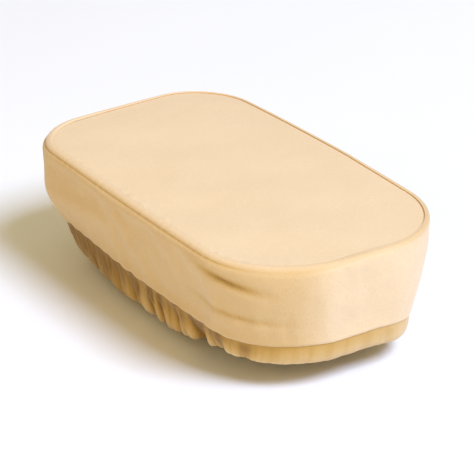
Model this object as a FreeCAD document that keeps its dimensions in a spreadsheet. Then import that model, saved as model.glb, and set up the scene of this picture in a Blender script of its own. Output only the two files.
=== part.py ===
import FreeCAD, Part
import math
import os
import Sketcher

# Slip-on armrest pad: a foam block in a sewn cloth cover, with a gathered skirt whose elastic hem
# pulls in under the chair's own armrest. Millimetres, +Z up, +Y towards the rear of the chair.
# The origin is the middle of the seating face, where the pad lies on the armrest.

# name: (size, what it measures)
DRIVING_SIZES = {
    "pad_length": (235, "widest outline, front to rear"),
    "pad_width": (133, "widest outline, side to side"),
    "side_bow": (2900, "radius of the long sides, which bow outwards"),
    "rear_corner": (36, "corner radius of the outline at the rear"),
    "front_corner": (51, "corner radius of the outline at the front"),
    "top_height": (44, "top face above the seating face"),
    "shoulder": (4.5, "rounding between the top face and the wall"),
    "wall_turn": (28, "height below which the wall curves inwards"),
    "lip_inset": (9, "how far the lip lies inside the widest outline"),
    "cloth": (1.2, "thickness of the pile cloth"),
    "ease": (0.3, "room between the foam and its cover"),
    "layer_gap": (0.1, "gap between layers that lie on each other"),
    "seam_gap": (0.6, "opening of the top seam, which its thread fills"),
    "joint_gap": (0.8, "opening where the two ends of the side band meet"),
    "allowance": (8, "width of cloth turned in beyond a seam"),
    "thread": (0.5, "diameter of the sewing thread"),
    "topstitch_angle": (58, "degrees round the shoulder from the seam to the topstitching"),
    "skirt_inset": (9.8, "top of the skirt inside the widest outline"),
    "skirt_foot_inset": (12, "where the skirt starts to turn under"),
    "skirt_foot": (16, "depth at which the skirt starts to turn under"),
    "skirt_turn": (7, "radius with which the skirt turns under"),
    "hem_inset": (31, "edge of the skirt's mouth inside the widest outline"),
    "casing_width": (9, "width of the hem casing"),
    "tunnel_height": (2, "clear height inside the hem casing"),
    "elastic_width": (5.4, "width of the elastic"),
    "elastic_thickness": (1.0, "thickness of the elastic"),
    "tack_pitch": (3, "distance between the bar tacks on the elastic's joint"),
    "tack_height": (0.4, "height of a bar tack"),
    "grip_inset": (20, "edge of the grip sheet inside the widest outline"),
}
TACK_COUNT = 3


class Size:
    """A length as a number and as the spreadsheet expression that gives it."""

    def __init__(self, number, text):
        self.number = number
        self.text = text

    def combine(self, other, sign, work):
        if not isinstance(other, Size):
            other = Size(other, str(other))
        return Size(work(self.number, other.number), f"({self.text} {sign} {other.text})")

    def __add__(self, other):
        return self.combine(other, "+", lambda a, b: a + b)

    def __sub__(self, other):
        return self.combine(other, "-", lambda a, b: a - b)

    def __mul__(self, other):
        return self.combine(other, "*", lambda a, b: a * b)

    def __truediv__(self, other):
        return self.combine(other, "/", lambda a, b: a / b)

    def __neg__(self):
        return self * -1

    def root(self):
        return Size(math.sqrt(self.number), f"sqrt({self.text})")

    def sine(self):
        return Size(math.sin(math.radians(self.number)), f"sin({self.text} * 1deg)")

    def cosine(self):
        return Size(math.cos(math.radians(self.number)), f"cos({self.text} * 1deg)")


def write_sheet(doc):
    """Put the driving sizes in a spreadsheet and return them as Size values by name."""
    sheet = doc.addObject("Spreadsheet::Sheet", "Sheet")
    sizes = {}
    for row, (name, (number, meaning)) in enumerate(DRIVING_SIZES.items(), start=1):
        sheet.set(f"A{row}", meaning)
        sheet.set(f"B{row}", str(number))
        sheet.setAlias(f"B{row}", name)
        sizes[name] = Size(number, f"Sheet.{name}")
    doc.recompute()
    return sizes


DOC = FreeCAD.newDocument("armrest_pad")
S = write_sheet(DOC)
ZERO = Size(0, "0")

HALF_LENGTH = S["pad_length"] / 2
SHOULDER_HEIGHT = S["top_height"] - S["shoulder"]
# the wall's lower curve is the arc that is upright at wall_turn and reaches lip_inset at height 0
LOWER_CURVE = ((S["wall_turn"] * S["wall_turn"] + S["lip_inset"] * S["lip_inset"])
               / (S["lip_inset"] * 2))
ALLOWANCE_END = S["lip_inset"] + S["allowance"]
SKIRT_BOTTOM = -(S["skirt_foot"] + S["skirt_turn"])
CASING_START = S["hem_inset"] - S["casing_width"]
TUNNEL_FLOOR = SKIRT_BOTTOM + S["cloth"]
TUNNEL_ROOF = TUNNEL_FLOOR + S["tunnel_height"]
CASING_TOP = TUNNEL_ROOF + S["cloth"]
CAP_INSET = S["shoulder"] + S["seam_gap"]


# ---------------------------------------------------------------- sketches

def new_body(node):
    body = DOC.addObject("PartDesign::Body", node)
    body.Label = node
    return body


def new_sketch(body, name, plane_role, lift=None):
    """A sketch on one of the body's own origin planes, lifted off it if asked."""
    sketch = body.newObject("Sketcher::SketchObject", name)
    planes = [item for item in body.Origin.OriginFeatures if item.Role == plane_role]
    sketch.AttachmentSupport = [(planes[0], "")]
    sketch.MapMode = "FlatFace"
    if lift:
        sketch.setExpression(".AttachmentOffset.Base.z", lift.text)
    return sketch


def bind(sketch, label, size):
    """Name the sketch's newest constraint and drive it from the spreadsheet."""
    sketch.renameConstraint(sketch.ConstraintCount - 1, label)
    sketch.setExpression(f"Constraints.{label}", size.text)


def pin(sketch, edge, end, label, point):
    """Hold one end of an edge at a point measured from the origin."""
    for axis, size in zip("XY", point):
        sketch.addConstraint(
            Sketcher.Constraint(f"Distance{axis}", -1, 1, edge, end, size.number))
        bind(sketch, f"{label}{axis}", size)


def vector(point):
    return FreeCAD.Vector(point[0].number, point[1].number, 0)


def add_edge(sketch, start, end, arc):
    """Add one line, or one arc of (centre, radius), and say which end of it comes first."""
    if arc is None:
        return sketch.addGeometry(Part.LineSegment(vector(start), vector(end)), False), 1, 2
    centre, radius = vector(arc[0]), arc[1]
    first = math.atan2(*reversed((vector(start) - centre)[:2]))
    last = math.atan2(*reversed((vector(end) - centre)[:2]))
    turn = math.remainder(last - first, 2 * math.pi)
    low, high = (first, first + turn) if turn > 0 else (first + turn, first)
    circle = Part.Circle(centre, FreeCAD.Vector(0, 0, 1), radius.number)
    edge = sketch.addGeometry(Part.ArcOfCircle(circle, low, high), False)
    sketch.addConstraint(Sketcher.Constraint("Radius", edge, radius.number))
    bind(sketch, f"radius{edge}", radius)
    return (edge, 1, 2) if turn > 0 else (edge, 2, 1)


def draw_chain(sketch, points, arcs, closed):
    """Draw edges through points; arcs maps a first point's index to (centre, radius)."""
    count = len(points) if closed else len(points) - 1
    previous = opening = None
    for index in range(count):
        start, end = points[index], points[(index + 1) % len(points)]
        edge, tail, tip = add_edge(sketch, start, end, arcs.get(index))
        pin(sketch, edge, tail, f"at{edge}", start)
        if previous:
            sketch.addConstraint(Sketcher.Constraint("Coincident", *previous, edge, tail))
        opening = opening or (edge, tail)
        previous = (edge, tip)
    if closed:
        sketch.addConstraint(Sketcher.Constraint("Coincident", *previous, *opening))
    else:
        pin(sketch, *previous, "finish", points[-1])


def corner_of(inset, corner, side):
    """Centre of one outline corner and its two tangent points: on the end and on the side.

    side is +1 for the rear corners and -1 for the front ones; all on the +X half.
    """
    radius = S[corner] - inset
    bow_centre = S["pad_width"] / 2 - S["side_bow"]
    along = HALF_LENGTH - S[corner]
    reach = S["side_bow"] - S[corner]
    across = (reach * reach - along * along).root()
    centre = (bow_centre + across, along * side)
    on_end = (centre[0], (along + radius) * side)
    on_side = (bow_centre + across * (S["side_bow"] - inset) / reach,
               along * side * (S["side_bow"] - inset) / reach)
    return centre, radius, on_end, on_side


def mirrored(point):
    return (-point[0], point[1])


def draw_outline(body, name, inset, lift=None):
    """Plan outline moved inwards by inset; it starts at the middle of the rear end."""
    sketch = new_sketch(body, name, "XY_Plane", lift)
    rear, rear_radius, rear_end, rear_side = corner_of(inset, "rear_corner", 1)
    front, front_radius, front_end, front_side = corner_of(inset, "front_corner", -1)
    bow = (S["pad_width"] / 2 - S["side_bow"], ZERO)
    bow_radius = S["side_bow"] - inset
    points = [(ZERO, HALF_LENGTH - inset), mirrored(rear_end), mirrored(rear_side),
              mirrored(front_side), mirrored(front_end),
              front_end, front_side, rear_side, rear_end]
    arcs = {1: (mirrored(rear), rear_radius), 2: (mirrored(bow), bow_radius),
            3: (mirrored(front), front_radius), 5: (front, front_radius),
            6: (bow, bow_radius), 7: (rear, rear_radius)}
    draw_chain(sketch, points, arcs, closed=True)
    return sketch


def section_point(inset, height):
    return (HALF_LENGTH - inset, height)


def draw_section(body, name, corners, arcs=None):
    """Closed section at the middle of the rear end, from (inset, height) corners.

    arcs gives ((inset, height) of the centre, radius) for each round side.
    """
    sketch = new_sketch(body, name, "YZ_Plane")
    centres = {index: (section_point(*centre), radius)
               for index, (centre, radius) in (arcs or {}).items()}
    draw_chain(sketch, [section_point(*corner) for corner in corners], centres, closed=True)
    return sketch


def draw_thread_section(sketch, centre):
    """Round section of a thread."""
    diameter = S["thread"]
    circle = Part.Circle(vector(centre), FreeCAD.Vector(0, 0, 1), diameter.number / 2)
    edge = sketch.addGeometry(circle, False)
    sketch.addConstraint(Sketcher.Constraint("Diameter", edge, diameter.number))
    bind(sketch, "diameter", diameter)
    pin(sketch, edge, 3, "centre", centre)
    return sketch


# ---------------------------------------------------------------- features

def sweep(body, name, section, path, kind="AdditivePipe"):
    pipe = body.newObject(f"PartDesign::{kind}", name)
    pipe.Profile = section
    pipe.Spine = (path, [])
    return pipe


def sweep_round_pad(body, name, section, kind="AdditivePipe"):
    """Carry a section once round the widest outline."""
    return sweep(body, name, section, draw_outline(body, f"{name}_path", ZERO), kind)


def pad_up(body, name, outline, height):
    pad = body.newObject("PartDesign::Pad", name)
    pad.Profile = outline
    pad.setExpression("Length", height.text)
    return pad


def rectangle(inner, outer, low, high):
    """Corners of a section's rectangle between two insets and two heights."""
    return [(outer, low), (inner, low), (inner, high), (outer, high)]


# ---------------------------------------------------------------- sub-parts

def make_top_panel():
    """Cloth cap inside the top seam, with its seam allowance turned down under the shoulder."""
    body = new_body("top_panel")
    underside = S["top_height"] - S["cloth"]
    outline = draw_outline(body, "cap_outline", CAP_INSET, lift=underside)
    pad_up(body, "cap", outline, S["cloth"])

    outside = S["shoulder"] - S["cloth"] - S["layer_gap"]
    inside = S["shoulder"] - S["cloth"] * 2
    flange_end = SHOULDER_HEIGHT - S["allowance"] / 2
    fold_end = CAP_INSET + S["cloth"]
    fold_top = S["top_height"] - S["cloth"] / 2
    pivot = (S["shoulder"], SHOULDER_HEIGHT)
    corners = [(fold_end, SHOULDER_HEIGHT + inside), (S["shoulder"], SHOULDER_HEIGHT + inside),
               (S["shoulder"] - inside, SHOULDER_HEIGHT), (S["shoulder"] - inside, flange_end),
               (S["shoulder"] - outside, flange_end), (S["shoulder"] - outside, SHOULDER_HEIGHT),
               (S["shoulder"], SHOULDER_HEIGHT + outside), (CAP_INSET, SHOULDER_HEIGHT + outside),
               (CAP_INSET, fold_top), (fold_end, fold_top)]
    arcs = {1: (pivot, inside), 5: (pivot, outside)}
    sweep_round_pad(body, "flange", draw_section(body, "flange_section", corners, arcs))
    return body


def make_side_band():
    """Cloth wall from the top seam over the shoulder to the lip, with its allowance turned in."""
    body = new_body("side_band")
    cloth = S["cloth"]
    shoulder_pivot = (S["shoulder"], SHOULDER_HEIGHT)
    curve_pivot = (LOWER_CURVE, S["wall_turn"])
    inner_curve = LOWER_CURVE - cloth
    rise = S["wall_turn"] - cloth
    heel = LOWER_CURVE - (inner_curve * inner_curve - rise * rise).root()
    corners = [(S["lip_inset"], ZERO), (ZERO, S["wall_turn"]), (ZERO, SHOULDER_HEIGHT),
               (S["shoulder"], S["top_height"]), (S["shoulder"], S["top_height"] - cloth),
               (cloth, SHOULDER_HEIGHT), (cloth, S["wall_turn"]),
               (heel, cloth), (ALLOWANCE_END, cloth), (ALLOWANCE_END, ZERO)]
    arcs = {0: (curve_pivot, LOWER_CURVE), 2: (shoulder_pivot, S["shoulder"]),
            4: (shoulder_pivot, S["shoulder"] - cloth), 6: (curve_pivot, inner_curve)}
    sweep_round_pad(body, "wall", draw_section(body, "wall_section", corners, arcs))
    DOC.recompute()
    cut_band_joint(body)
    return body


def cut_band_joint(body):
    """Open the band at the middle of the rear end, where its two ends are sewn together."""
    sketch = new_sketch(body, "joint_outline", "XY_Plane")
    half = S["joint_gap"] / 2
    near = HALF_LENGTH - ALLOWANCE_END - S["allowance"]
    far = HALF_LENGTH + S["allowance"]
    draw_chain(sketch, [(-half, near), (half, near), (half, far), (-half, far)], {}, closed=True)
    slit = body.newObject("PartDesign::Pocket", "joint_slit")
    slit.Profile = sketch
    slit.Midplane = True
    past_both_edges = S["top_height"] * 3
    slit.setExpression("Length", past_both_edges.text)


def make_skirt():
    """Cloth skirt from the lip down and under to the mouth, with the hem casing along its edge."""
    body = new_body("skirt")
    cloth, foot = S["cloth"], -S["skirt_foot"]
    foot_inset = S["skirt_foot_inset"]
    turn_end = foot_inset + S["skirt_turn"]
    pivot = (turn_end, foot)
    seam_top = -S["layer_gap"]
    seam_low = seam_top - cloth
    corners = [(ALLOWANCE_END, seam_top), (S["skirt_inset"], seam_top), (foot_inset, foot),
               (turn_end, SKIRT_BOTTOM), (S["hem_inset"], SKIRT_BOTTOM),
               (S["hem_inset"], CASING_TOP), (CASING_START, CASING_TOP),
               (CASING_START, TUNNEL_FLOOR), (turn_end, TUNNEL_FLOOR),
               (foot_inset + cloth, foot), (S["skirt_inset"] + cloth, seam_low),
               (ALLOWANCE_END, seam_low)]
    arcs = {2: (pivot, S["skirt_turn"]), 8: (pivot, S["skirt_turn"] - cloth)}
    sweep_round_pad(body, "skirt_wall", draw_section(body, "skirt_section", corners, arcs))
    DOC.recompute()

    tunnel = rectangle(CASING_START + cloth, S["hem_inset"] - cloth, TUNNEL_FLOOR, TUNNEL_ROOF)
    tunnel_section = draw_section(body, "tunnel_section", tunnel)
    sweep_round_pad(body, "tunnel", tunnel_section, kind="SubtractivePipe")
    return body


def elastic_edges():
    """Insets of the elastic's two edges and heights of its two faces, in the tunnel's middle."""
    middle_inset = S["hem_inset"] - S["casing_width"] / 2
    middle_height = (TUNNEL_FLOOR + TUNNEL_ROOF) / 2
    half_width, half_thickness = S["elastic_width"] / 2, S["elastic_thickness"] / 2
    return (middle_inset - half_width, middle_inset + half_width,
            middle_height - half_thickness, middle_height + half_thickness)


def make_hem_elastic():
    """Flat elastic that runs once round inside the hem casing."""
    body = new_body("hem_elastic")
    sweep_round_pad(body, "elastic", draw_section(body, "elastic_section",
                                                  rectangle(*elastic_edges())))
    return body


def make_elastic_tack():
    """Bar tacks across the overlap of the elastic's two ends, at the middle of the rear."""
    outer_inset, inner_inset, _, face = elastic_edges()
    bars = []
    for index in range(TACK_COUNT):
        bar = DOC.addObject("Part::Box", f"tack_bar_{index + 1}")
        offset = S["tack_pitch"] * (index - (TACK_COUNT - 1) / 2) - S["thread"] / 2
        bar.setExpression("Length", S["thread"].text)
        bar.setExpression("Width", (inner_inset - outer_inset).text)
        bar.setExpression("Height", S["tack_height"].text)
        bar.setExpression(".Placement.Base.x", offset.text)
        bar.setExpression(".Placement.Base.y", (HALF_LENGTH - inner_inset).text)
        bar.setExpression(".Placement.Base.z", (face + S["layer_gap"] / 2).text)
        bars.append(bar)
    group = DOC.addObject("Part::Compound", "elastic_tack_thread")
    group.Links = bars
    return group


def make_foam_core():
    """One foam block with rounded shoulders and undercut lower edges."""
    body = new_body("foam_core")
    clear = S["cloth"] + S["ease"]
    skin = S["cloth"] * 2 + S["ease"]
    top = S["top_height"] - clear
    heart = draw_outline(body, "heart_outline", S["grip_inset"], lift=clear)
    pad_up(body, "heart", heart, top - clear)

    curve = LOWER_CURVE - skin
    rise = S["wall_turn"] - clear
    heel = LOWER_CURVE - (curve * curve - rise * rise).root()
    rounding = S["shoulder"] - skin
    groove_end = CAP_INSET + clear
    groove = SHOULDER_HEIGHT + rounding
    corners = [(heel, clear), (skin, S["wall_turn"]), (skin, SHOULDER_HEIGHT),
               (S["shoulder"], groove), (groove_end, groove), (groove_end, top),
               (S["grip_inset"], top), (S["grip_inset"], clear)]
    arcs = {0: ((LOWER_CURVE, S["wall_turn"]), curve),
            2: ((S["shoulder"], SHOULDER_HEIGHT), rounding)}
    sweep_round_pad(body, "rim", draw_section(body, "rim_section", corners, arcs))
    return body


def make_grip_sheet():
    """Non-slip sheet bonded under the foam; its underside is the seating face."""
    body = new_body("grip_sheet")
    pad_up(body, "sheet", draw_outline(body, "sheet_outline", S["grip_inset"]), S["cloth"])
    return body


def make_thread_ring(node, inset, height):
    """One line of sewing that runs once round the pad."""
    body = new_body(node)
    section = new_sketch(body, "thread_section", "YZ_Plane")
    draw_thread_section(section, section_point(inset, height))
    sweep_round_pad(body, "stitching", section)
    return body


def make_top_seam_thread():
    return make_thread_ring("top_seam_thread", S["shoulder"] + S["seam_gap"] / 2,
                            S["top_height"] - S["cloth"] / 2)


def make_edge_topstitch_thread():
    """Topstitching on the shoulder, which holds the seam allowances flat under it."""
    reach = S["shoulder"] + S["layer_gap"] + S["thread"] / 2
    return make_thread_ring("edge_topstitch_thread",
                            S["shoulder"] - reach * S["topstitch_angle"].sine(),
                            SHOULDER_HEIGHT + reach * S["topstitch_angle"].cosine())


def make_lip_seam_thread():
    """Sewing through the turned-in edges of the side band and the skirt."""
    return make_thread_ring("lip_seam_thread", S["lip_inset"] + S["allowance"] / 2,
                            -(S["layer_gap"] * 2 + S["cloth"] + S["thread"] / 2))


def make_casing_thread():
    """Sewing that closes the hem casing."""
    return make_thread_ring("casing_thread", CASING_START + S["cloth"] / 2,
                            CASING_TOP + S["layer_gap"] + S["thread"] / 2)


def make_band_joint_thread():
    """Upright sewing line that joins the two ends of the side band."""
    body = new_body("band_joint_thread")
    middle = S["cloth"] / 2
    lower = LOWER_CURVE - middle
    upper = S["shoulder"] - middle
    start_height = S["cloth"] * 2
    drop = S["wall_turn"] - start_height
    start_inset = LOWER_CURVE - (lower * lower - drop * drop).root()
    end_angle = S["topstitch_angle"]
    route = [(start_inset, start_height), (middle, S["wall_turn"]), (middle, SHOULDER_HEIGHT),
             (S["shoulder"] - upper * end_angle.cosine(),
              SHOULDER_HEIGHT + upper * end_angle.sine())]
    path = new_sketch(body, "joint_path", "YZ_Plane")
    arcs = {0: (section_point(LOWER_CURVE, S["wall_turn"]), lower),
            2: (section_point(S["shoulder"], SHOULDER_HEIGHT), upper)}
    draw_chain(path, [section_point(*point) for point in route], arcs, closed=False)

    # the section lies flat across the path where the wall is upright
    section = new_sketch(body, "joint_section", "XY_Plane", lift=S["wall_turn"])
    draw_thread_section(section, (ZERO, HALF_LENGTH - middle))
    sweep(body, "joint_stitching", section, path)
    return body


# ---------------------------------------------------------------- checks and export

def fail_if_broken(parts):
    """Stop before anything is written if an object failed or a shape is empty or invalid."""
    for item in DOC.Objects:
        if {"Invalid", "Error"} & set(item.State):
            raise RuntimeError(f"{item.Label} failed: {item.State}")
    for part in parts:
        if part.Shape.isNull() or not part.Shape.isValid():
            raise RuntimeError(f"{part.Label} has no valid shape")


def export(parts):
    os.makedirs("parts", exist_ok=True)
    for part in parts:
        part.Shape.exportStep(f"parts/{part.Label}.step")
        box = part.Shape.optimalBoundingBox(False)
        print(f"{part.Label}: {len(part.Shape.Solids)} solid(s), {part.Shape.Volume:.0f} mm3, "
              f"{box.XLength:.1f} x {box.YLength:.1f} x {box.ZLength:.1f} mm, "
              f"z {box.ZMin:.1f} to {box.ZMax:.1f}")


PARTS = [
    make_top_panel(),
    make_side_band(),
    make_skirt(),
    make_hem_elastic(),
    make_elastic_tack(),
    make_foam_core(),
    make_grip_sheet(),
    make_top_seam_thread(),
    make_edge_topstitch_thread(),
    make_lip_seam_thread(),
    make_casing_thread(),
    make_band_joint_thread(),
]
DOC.recompute()
fail_if_broken(PARTS)
export(PARTS)
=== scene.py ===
"""Looks of the slip-on armrest pad: cover, skirt, seams, foam and stage, built round the CAD frame.

Lengths inside the shape functions are millimetres; MM turns them into Blender's metres.
The cut sizes of the cloth, the camera, the lights and the floor are in metres.
s is the distance round the widest outline from the middle of the rear end, first towards -X.
inset is how far a point lies inside that outline.
"""

import math

import bmesh
import bpy
import numpy as np
from mathutils import Matrix, Vector


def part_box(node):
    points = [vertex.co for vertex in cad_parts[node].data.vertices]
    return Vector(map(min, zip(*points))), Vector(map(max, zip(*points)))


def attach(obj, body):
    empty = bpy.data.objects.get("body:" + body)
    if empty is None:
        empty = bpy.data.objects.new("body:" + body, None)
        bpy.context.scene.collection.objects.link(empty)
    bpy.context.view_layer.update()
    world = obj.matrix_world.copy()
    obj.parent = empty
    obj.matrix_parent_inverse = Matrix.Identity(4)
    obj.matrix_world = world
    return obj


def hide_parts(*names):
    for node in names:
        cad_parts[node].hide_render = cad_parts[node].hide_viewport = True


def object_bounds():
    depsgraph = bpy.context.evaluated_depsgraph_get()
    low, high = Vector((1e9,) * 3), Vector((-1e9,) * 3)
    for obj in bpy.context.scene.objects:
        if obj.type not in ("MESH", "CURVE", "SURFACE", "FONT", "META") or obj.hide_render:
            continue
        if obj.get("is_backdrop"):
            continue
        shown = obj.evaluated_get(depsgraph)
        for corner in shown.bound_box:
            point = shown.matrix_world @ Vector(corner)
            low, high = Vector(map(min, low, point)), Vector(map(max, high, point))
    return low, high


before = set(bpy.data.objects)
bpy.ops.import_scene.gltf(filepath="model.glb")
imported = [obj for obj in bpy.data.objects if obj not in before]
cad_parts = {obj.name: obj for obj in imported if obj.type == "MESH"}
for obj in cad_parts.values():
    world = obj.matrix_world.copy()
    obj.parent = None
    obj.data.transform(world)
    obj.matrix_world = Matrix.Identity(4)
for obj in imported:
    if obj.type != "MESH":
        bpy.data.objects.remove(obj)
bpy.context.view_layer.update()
MM = 0.001
TAU = 2 * math.pi
BODY = "root"

# ---- sizes

HALF_WIDTH, HALF_LENGTH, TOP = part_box("side_band")[1] / MM
SIDE_BOW = 2900.0       # radius of the long sides
REAR_CORNER = 36.0
FRONT_CORNER = 51.0
END_BOW = 2.2           # how far the ends curve back from their middle to the corners
REAR_LEFT_PULL = 2.0    # how much further the rear left corner is pulled in
REAR_DIP = 1.7          # how far the top slopes down to its rear edge
RIGHT_DIP = 1.2         # how far it slopes down to its right side
NARROWING = 0.03        # share by which the pad narrows from its middle to its rear end
FRONT_RIGHT_TURN = 1.7  # above 1, the front right draws in too, where it would widen
SHOULDER = 4.5          # rounding between the top and the wall
CLOTH = 1.0             # thickness of the pile cloth
SKIRT_CLOTH = 0.8       # thickness of the skirt's single cloth

RIGHT, LEFT, FRONT = 0, 180, -90        # degrees, for the way that the outline faces


# ---- tables and relief

def unit(vectors):
    return vectors / np.linalg.norm(vectors, axis=-1, keepdims=True)


def distance_along(points):
    """How far each point of a line lies from its first point, along the line."""
    return np.concatenate([[0], np.cumsum(np.linalg.norm(np.diff(points, axis=0), axis=1))])


def read_rows(at, along, rows):
    """The rows of a table, read between its entries at distances along it."""
    return np.stack([np.interp(at, along, column) for column in rows.T], axis=-1)


def smooth(x):
    """0 below 0, 1 above 1, and an easy curve between them."""
    x = np.clip(x, 0, 1)
    return x * x * (3 - 2 * x)


def bump_at(x, centre, width):
    """1 at the centre, falling to 0 over about two widths to each side."""
    return np.exp(-((x - centre) / width) ** 2)


def waves(points, wavelength, seed, count=10):
    """Soft random relief between about -1 and 1, with features about a wavelength across."""
    rng = np.random.RandomState(seed)
    total = np.zeros(points.shape[:-1])
    for _ in range(count):
        direction = rng.normal(size=points.shape[-1])
        direction /= np.linalg.norm(direction)
        pitch = wavelength * rng.uniform(0.7, 1.5)
        total += np.cos(points @ direction * TAU / pitch + rng.uniform(0, TAU))
    return total / math.sqrt(count)


def ring_waves(s, wavelength, seed, count=6):
    """Soft random relief that closes on itself round the pad."""
    rng = np.random.RandomState(seed)
    total = np.zeros(np.shape(s))
    for _ in range(count):
        turns = max(1, round(PERIMETER / wavelength * rng.uniform(0.7, 1.4)))
        total = total + np.cos(s / PERIMETER * TAU * turns + rng.uniform(0, TAU))
    return total / math.sqrt(count)


# ---- outline

def arc_points(centre, radius, first, last, count):
    angles = np.radians(np.linspace(first, last, count))
    normals = np.stack([np.cos(angles), np.sin(angles)], axis=1)
    return np.array(centre) + radius * normals, normals


def corner_centre(radius):
    """How far a corner's centre lies from the middle, across and along."""
    along = HALF_LENGTH - radius
    reach = SIDE_BOW - radius
    return HALF_WIDTH - SIDE_BOW + math.sqrt(reach * reach - along * along), along


def outline_table():
    """Points, outward normals and distances round the widest outline."""
    steps = 400         # points on each corner
    rear_x, rear_y = corner_centre(REAR_CORNER)
    front_x, front_y = corner_centre(FRONT_CORNER)
    bow_x = SIDE_BOW - HALF_WIDTH
    rear_tilt = math.degrees(math.asin(rear_y / (SIDE_BOW - REAR_CORNER)))
    front_tilt = math.degrees(math.asin(front_y / (SIDE_BOW - FRONT_CORNER)))
    left = [arc_points((-rear_x, rear_y), REAR_CORNER, 90, 180 - rear_tilt, steps),
            arc_points((bow_x, 0), SIDE_BOW, 180 - rear_tilt, 180 + front_tilt, steps * 2),
            arc_points((-front_x, -front_y), FRONT_CORNER, 180 + front_tilt, 270, steps)]
    points = np.concatenate([part[0] for part in left])
    normals = np.concatenate([part[1] for part in left])
    flip = np.array([-1, 1])
    middle = np.array([[0.0, HALF_LENGTH]])
    up = np.array([[0.0, 1.0]])
    points = np.concatenate([middle, points, (points * flip)[::-1], middle])
    normals = np.concatenate([up, normals, (normals * flip)[::-1], up])
    return points, normals, distance_along(points)


OUTLINE, OUTLINE_NORMALS, OUTLINE_S = outline_table()
PERIMETER = OUTLINE_S[-1]


def spaced_round(count):
    """Distances evenly spaced round the pad, the start not repeated at the end."""
    return np.linspace(0, PERIMETER, count, endpoint=False)


def on_outline(s):
    """Points and outward normals of the widest outline at distances s."""
    s = np.mod(s, PERIMETER)
    return read_rows(s, OUTLINE_S, OUTLINE), unit(read_rows(s, OUTLINE_S, OUTLINE_NORMALS))


def top_dip(x, y):
    """How far the top has sloped down at a point of the plan."""
    rear = np.clip(y / HALF_LENGTH, 0, 1)
    right = np.clip(x / HALF_WIDTH, 0, 1)
    return REAR_DIP * rear ** 4 + RIGHT_DIP * right ** 2 * (1 + rear)


def place(s, inset, height):
    """Points of the pad's space from distances round, insets and heights, or one inset or height."""
    point, normal = on_outline(s)
    flat = point - normal * np.asarray(inset)[..., None]
    side, along = flat[..., 0] / HALF_WIDTH, flat[..., 1] / HALF_LENGTH
    front_right = smooth(side * 4) * smooth(-along * 4)
    x = flat[..., 0] * (1 - NARROWING * along * (1 - FRONT_RIGHT_TURN * front_right))
    rear = np.clip(along, 0, 1)
    pull = REAR_LEFT_PULL * np.clip(-side, 0, 1) ** 2 * rear ** 3
    y = flat[..., 1] - END_BOW * side ** 2 * along ** 3 - pull
    return np.stack([x, y, height - top_dip(x, y) * smooth(height / TOP)], axis=-1)


def across(s):
    """Where the outline lies across the pad: -1 on the left, 0 in the middle, 1 on the right."""
    point, _ = on_outline(s)
    return point[..., 0] / HALF_WIDTH


def share_of_rear(s, start, run):
    """0 in front of start, rising to 1 over run, both measured along the pad towards the rear."""
    point, _ = on_outline(s)
    return smooth((point[..., 1] - start) / run)


def facing(s, angle, sharpness):
    """1 where the outline faces an angle in degrees, falling off to both sides."""
    _, normal = on_outline(s)
    aim = math.radians(angle)
    towards = normal[..., 0] * math.cos(aim) + normal[..., 1] * math.sin(aim)
    return np.clip(towards, 0, 1) ** sharpness


# ---- sections

class Section:
    """A smooth line of (inset, height) points, read by the distance along it."""

    def __init__(self, points):
        self.points = np.array(points, dtype=float)
        self.along = distance_along(self.points)
        self.length = self.along[-1]
        slope = unit(np.gradient(self.points, self.along, axis=0))
        self.normals = np.stack([-slope[:, 1], slope[:, 0]], axis=1)

    def at(self, h):
        """Inset, height, and the outward normal's inset and height parts, at distances h."""
        return [np.interp(h, self.along, column)
                for column in (*self.points.T, *self.normals.T)]


def section_arc(centre, radius, first, last, count=24):
    """Arc in a section; 0 degrees points to the outside of the pad and 90 up."""
    angles = np.radians(np.linspace(first, last, count))
    return [(centre[0] - radius * math.cos(a), centre[1] + radius * math.sin(a)) for a in angles]


# ---- wall and skirt shapes

SEAM_INSET = 4.3        # middle of the groove where the top panel meets the side band
SEAM_RUN_OUT = 0.68     # share of that inset which the seam loses on the right
SEAM_TUCK = 0.4         # how far the band's edge runs on under the top panel where the seam is flat
GROOVE_LENGTH = 1.6     # from the start of the band, down in the groove, to its shoulder
CRISPNESS = 0.66        # how far the round shoulder is squeezed into an edge at the front right
LIP_FOLD = 0.9          # radius of the fold along the lip

LIP_IN = 7.2            # how far the lip lies inside the widest outline at the front
LIP_IN_REAR = 3.6       # how much further in it lies at the rear
LIP_IN_RIGHT = 4.5      # and along the front half of the right side
LIP_IN_CORNER = 3.0     # and at the right end of the front right corner
LIP_OUT_NOSE = 2.0      # how much further out it lies in the middle of that corner
LIP_DROP_FRONT = 0.6    # how far the lip hangs below the seating face at the front
LIP_DROP_CORNER = 6.0   # and at the front right corner

TURN_FRONT = 36.0       # height below which the wall draws in to the lip, at the front
TURN_REAR = 21.0        # and at the rear

SKIRT_DEPTH_FRONT = 14.5
SKIRT_DEPTH_REAR = 24.5
SKIRT_DEPTH_CORNER = 1.2        # how much deeper the skirt hangs at the front right corner
SKIRT_RECESS = 2.6      # how far the skirt is sucked in below the lip on the left


def lip_inset(s):
    """How far the lip lies inside the widest outline: least at the front, most at the rear."""
    right_side = facing(s, RIGHT, 2) * (1 - share_of_rear(s, -10, 90))
    corner = facing(s, -5, 6) * (1 - share_of_rear(s, -60, 60))
    front_right = LIP_IN_CORNER * corner - LIP_OUT_NOSE * facing(s, -62, 8)
    return LIP_IN + LIP_IN_REAR * share_of_rear(s, -10, 110) + LIP_IN_RIGHT * right_side + front_right


def lip_drop(s):
    """How far the lip hangs below the seating face."""
    return LIP_DROP_FRONT * facing(s, FRONT, 3) + LIP_DROP_CORNER * facing(s, -30, 3)


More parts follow.
